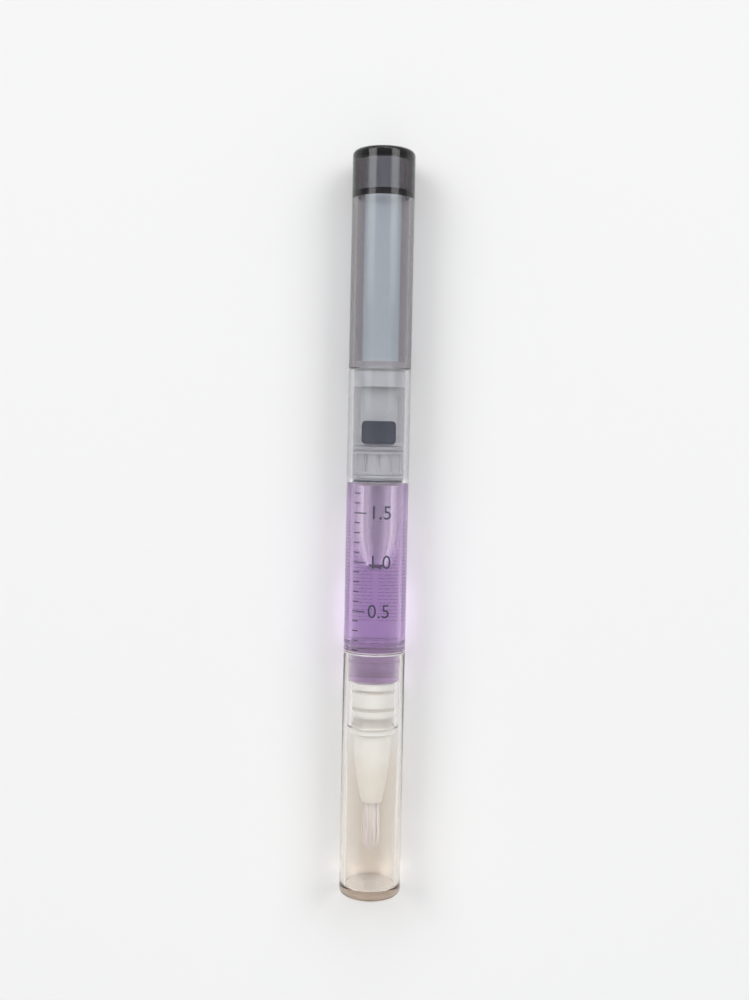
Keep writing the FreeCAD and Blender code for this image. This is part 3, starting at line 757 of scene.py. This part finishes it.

# Whitened rings on the two rims that meet where the cap snaps on: partly scuffs, partly a painted
# highlight where the rim fillets catch the light

SCUFF_AND_HIGHLIGHT_OFFSET = 0.006
SCUFF_AND_HIGHLIGHT_WIDTH = 0.20
SCUFF_AND_HIGHLIGHT_INNER_ROUND = 0.14
cap_scuff_and_highlight = lathe("cap_rim_scuff_and_highlight", [
    (BODY + SCUFF_AND_HIGHLIGHT_OFFSET, CAP_RIM - SCUFF_AND_HIGHLIGHT_WIDTH),
    (BODY + SCUFF_AND_HIGHLIGHT_OFFSET, CAP_RIM + SCUFF_AND_HIGHLIGHT_OFFSET, RIM_ROUND),
    (BODY - SCUFF_AND_HIGHLIGHT_WIDTH, CAP_RIM + SCUFF_AND_HIGHLIGHT_OFFSET),
    (BODY - SCUFF_AND_HIGHLIGHT_WIDTH, CAP_RIM - SCUFF_AND_HIGHLIGHT_OFFSET),
    (BODY - SCUFF_AND_HIGHLIGHT_OFFSET, CAP_RIM - SCUFF_AND_HIGHLIGHT_OFFSET, SCUFF_AND_HIGHLIGHT_INNER_ROUND),
    (BODY - SCUFF_AND_HIGHLIGHT_OFFSET, CAP_RIM - SCUFF_AND_HIGHLIGHT_WIDTH),
], scuffed_and_highlight)
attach(cap_scuff_and_highlight, "cap")
barrel_scuff_and_highlight = lathe("shoulder_scuff_and_highlight", [
    (BODY + SCUFF_AND_HIGHLIGHT_OFFSET, SHOULDER + SCUFF_AND_HIGHLIGHT_WIDTH),
    (BODY + SCUFF_AND_HIGHLIGHT_OFFSET, SHOULDER - SCUFF_AND_HIGHLIGHT_OFFSET, RIM_ROUND),
    (BODY - SCUFF_AND_HIGHLIGHT_WIDTH, SHOULDER - SCUFF_AND_HIGHLIGHT_OFFSET),
    (BODY - SCUFF_AND_HIGHLIGHT_WIDTH, SHOULDER + SCUFF_AND_HIGHLIGHT_OFFSET),
    (BODY - SCUFF_AND_HIGHLIGHT_OFFSET, SHOULDER + SCUFF_AND_HIGHLIGHT_OFFSET, SCUFF_AND_HIGHLIGHT_INNER_ROUND),
    (BODY - SCUFF_AND_HIGHLIGHT_OFFSET, SHOULDER + SCUFF_AND_HIGHLIGHT_WIDTH),
], scuffed_and_highlight)
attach(barrel_scuff_and_highlight, "barrel")

# Stage, light and camera

FLOOR_HALF = 30.0
LAMP_SPREAD = math.radians(60)
LIGHT_BOUNCES = 32
DIFFUSE_BOUNCES = 16
CAMERA_AT = Vector((-0.00048, 0.0147, 0.20025))
CAMERA_TARGET = Vector((-0.00048, 0.0047, 0.00525))
CAMERA_ROLL = math.radians(1.16)
CAMERA_LENS = 41.4
CAMERA_SENSOR = 36


def make_floor():
    """Plain pale floor that the pen lies on."""
    material, tree_nodes, _ = new_material("floor")
    shader = tree_nodes["Principled BSDF"]
    shader.inputs["Base Color"].default_value = (0.86, 0.857, 0.85, 1)
    shader.inputs["Roughness"].default_value = 0.9
    shader.inputs["Specular IOR Level"].default_value = 0.1
    mesh = bpy.data.meshes.new("floor")
    corners = [(-1, -1), (1, -1), (1, 1), (-1, 1)]
    mesh.from_pydata([(x * FLOOR_HALF, y * FLOOR_HALF, 0) for x, y in corners], [], [[0, 1, 2, 3]])
    mesh.materials.append(material)
    floor = bpy.data.objects.new("floor", mesh)
    bpy.context.scene.collection.objects.link(floor)


def soft_light(name, position, size, power):
    """Area light aimed at the middle of the pen, its long side along the pen."""
    lamp = bpy.data.lights.new(name, "AREA")
    lamp.shape = "RECTANGLE"
    lamp.size, lamp.size_y = size
    lamp.energy = power
    lamp.spread = LAMP_SPREAD
    holder = bpy.data.objects.new(name, lamp)
    bpy.context.scene.collection.objects.link(holder)
    spot = Vector(position)
    back = (spot - place(0, HALF_LENGTH, 0)).normalized()
    side = Vector((0, 1, 0)).cross(back).normalized()
    up = back.cross(side)
    holder.matrix_world = Matrix.Translation(spot) @ Matrix((side, up, back)).transposed().to_4x4()


def make_camera():
    """Camera above the pen, tipped a little towards the cap and turned a little about its view."""
    camera = bpy.data.cameras.new("camera")
    camera.sensor_fit = "VERTICAL"
    camera.sensor_height = CAMERA_SENSOR
    camera.lens = CAMERA_LENS
    camera.clip_start = 0.01
    holder = bpy.data.objects.new("camera", camera)
    bpy.context.scene.collection.objects.link(holder)
    back = (CAMERA_AT - CAMERA_TARGET).normalized()
    side = Vector((math.cos(CAMERA_ROLL), math.sin(CAMERA_ROLL), 0))
    up = back.cross(side).normalized()
    side = up.cross(back)
    holder.matrix_world = Matrix.Translation(CAMERA_AT) @ Matrix((side, up, back)).transposed().to_4x4()
    bpy.context.scene.camera = holder


make_floor()
soft_light("softbox_left", (-1.02, 0.84, 1.08), (0.90, 1.5), 2.1)
soft_light("softbox_right", (1.02, 0.84, 1.08), (0.90, 1.5), 2.0)
soft_light("softbox_top", (0.0, 1.45, 0.85), (1.3, 0.7), 0.85)
make_camera()

scene = bpy.context.scene
world = bpy.data.worlds.new("studio")
scene.world = world
world.use_nodes = True
background = world.node_tree.nodes["Background"]
background.inputs["Color"].default_value = (0.93, 0.94, 0.96, 1)
background.inputs["Strength"].default_value = 0.56
scene.view_settings.view_transform = "Standard"
scene.cycles.max_bounces = LIGHT_BOUNCES
scene.cycles.transmission_bounces = LIGHT_BOUNCES
scene.cycles.glossy_bounces = LIGHT_BOUNCES
scene.cycles.diffuse_bounces = DIFFUSE_BOUNCES
scene.cycles.blur_glossy = 0
